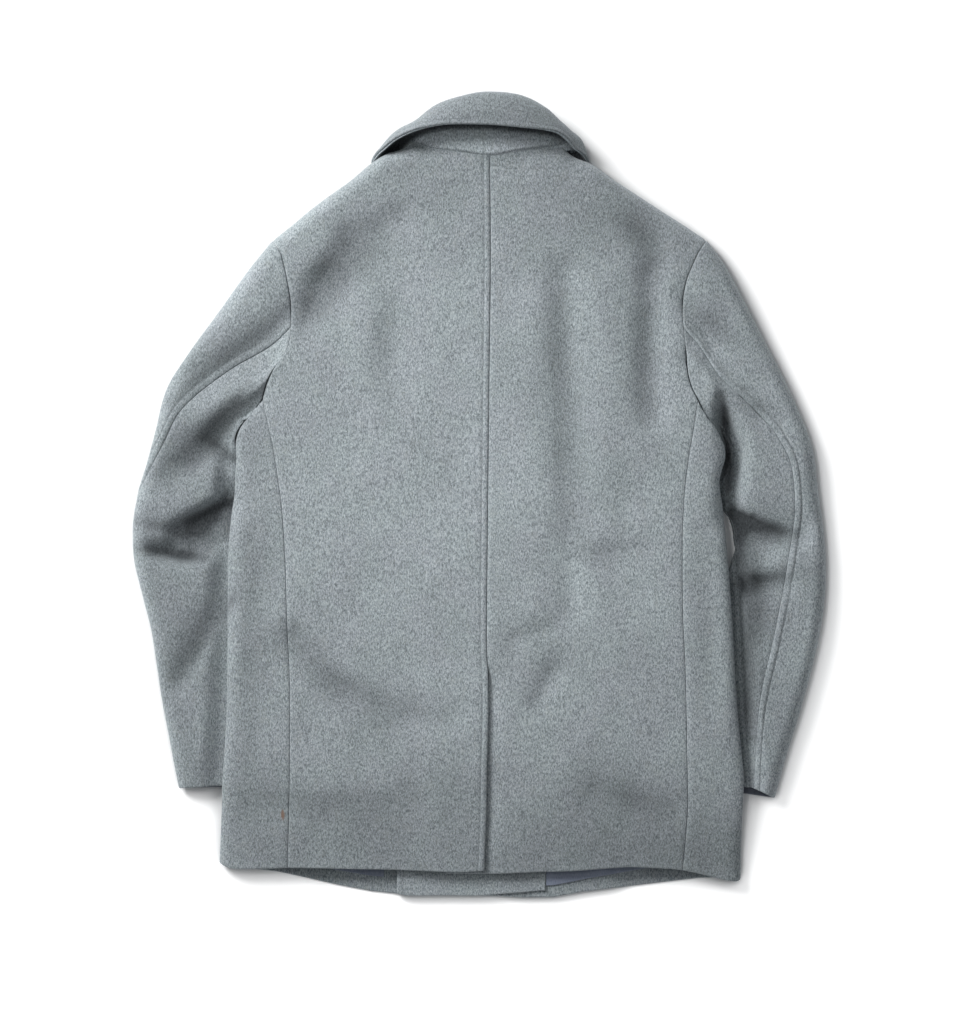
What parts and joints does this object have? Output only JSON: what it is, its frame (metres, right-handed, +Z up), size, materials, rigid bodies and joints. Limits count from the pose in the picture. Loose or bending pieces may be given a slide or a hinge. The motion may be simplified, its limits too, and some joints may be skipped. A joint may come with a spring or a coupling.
{
  "type": "pea coat",
  "caption": "Double-breasted wool pea coat laid face down, sleeves beside and partly under the body, with a falling collar, centre back vent and the fronts overlapping below.",
  "frame": {"origin": "centre of the bounding box's bottom, on the surface that the coat lies on", "axes": "+Z up, out of the coat's back; +Y from the hem to the collar; -X the wearer's left"},
  "size_m": [0.7348, 0.8529, 0.064],
  "materials": {
    "wool": "heathered melton with a short nap",
    "satin": "satin lining",
    "horn": "polished horn look"
  },
  "bodies": {
    "root": {"back_left": "wool", "back_right": "wool", "side_left": "wool", "side_right": "wool", "front_left": "wool", "front_right": "wool", "facing_right": "wool", "lining_left": "satin", "lining_right": "satin", "topsleeve_left": "wool", "topsleeve_right": "wool", "undersleeve_left": "wool", "undersleeve_right": "wool", "collar_top": "wool", "collar_under": "wool", "button_1": "horn", "button_2": "horn", "button_3": "horn", "button_4": "horn", "button_5": "horn", "button_6": "horn"}
  },
  "joints": []
}
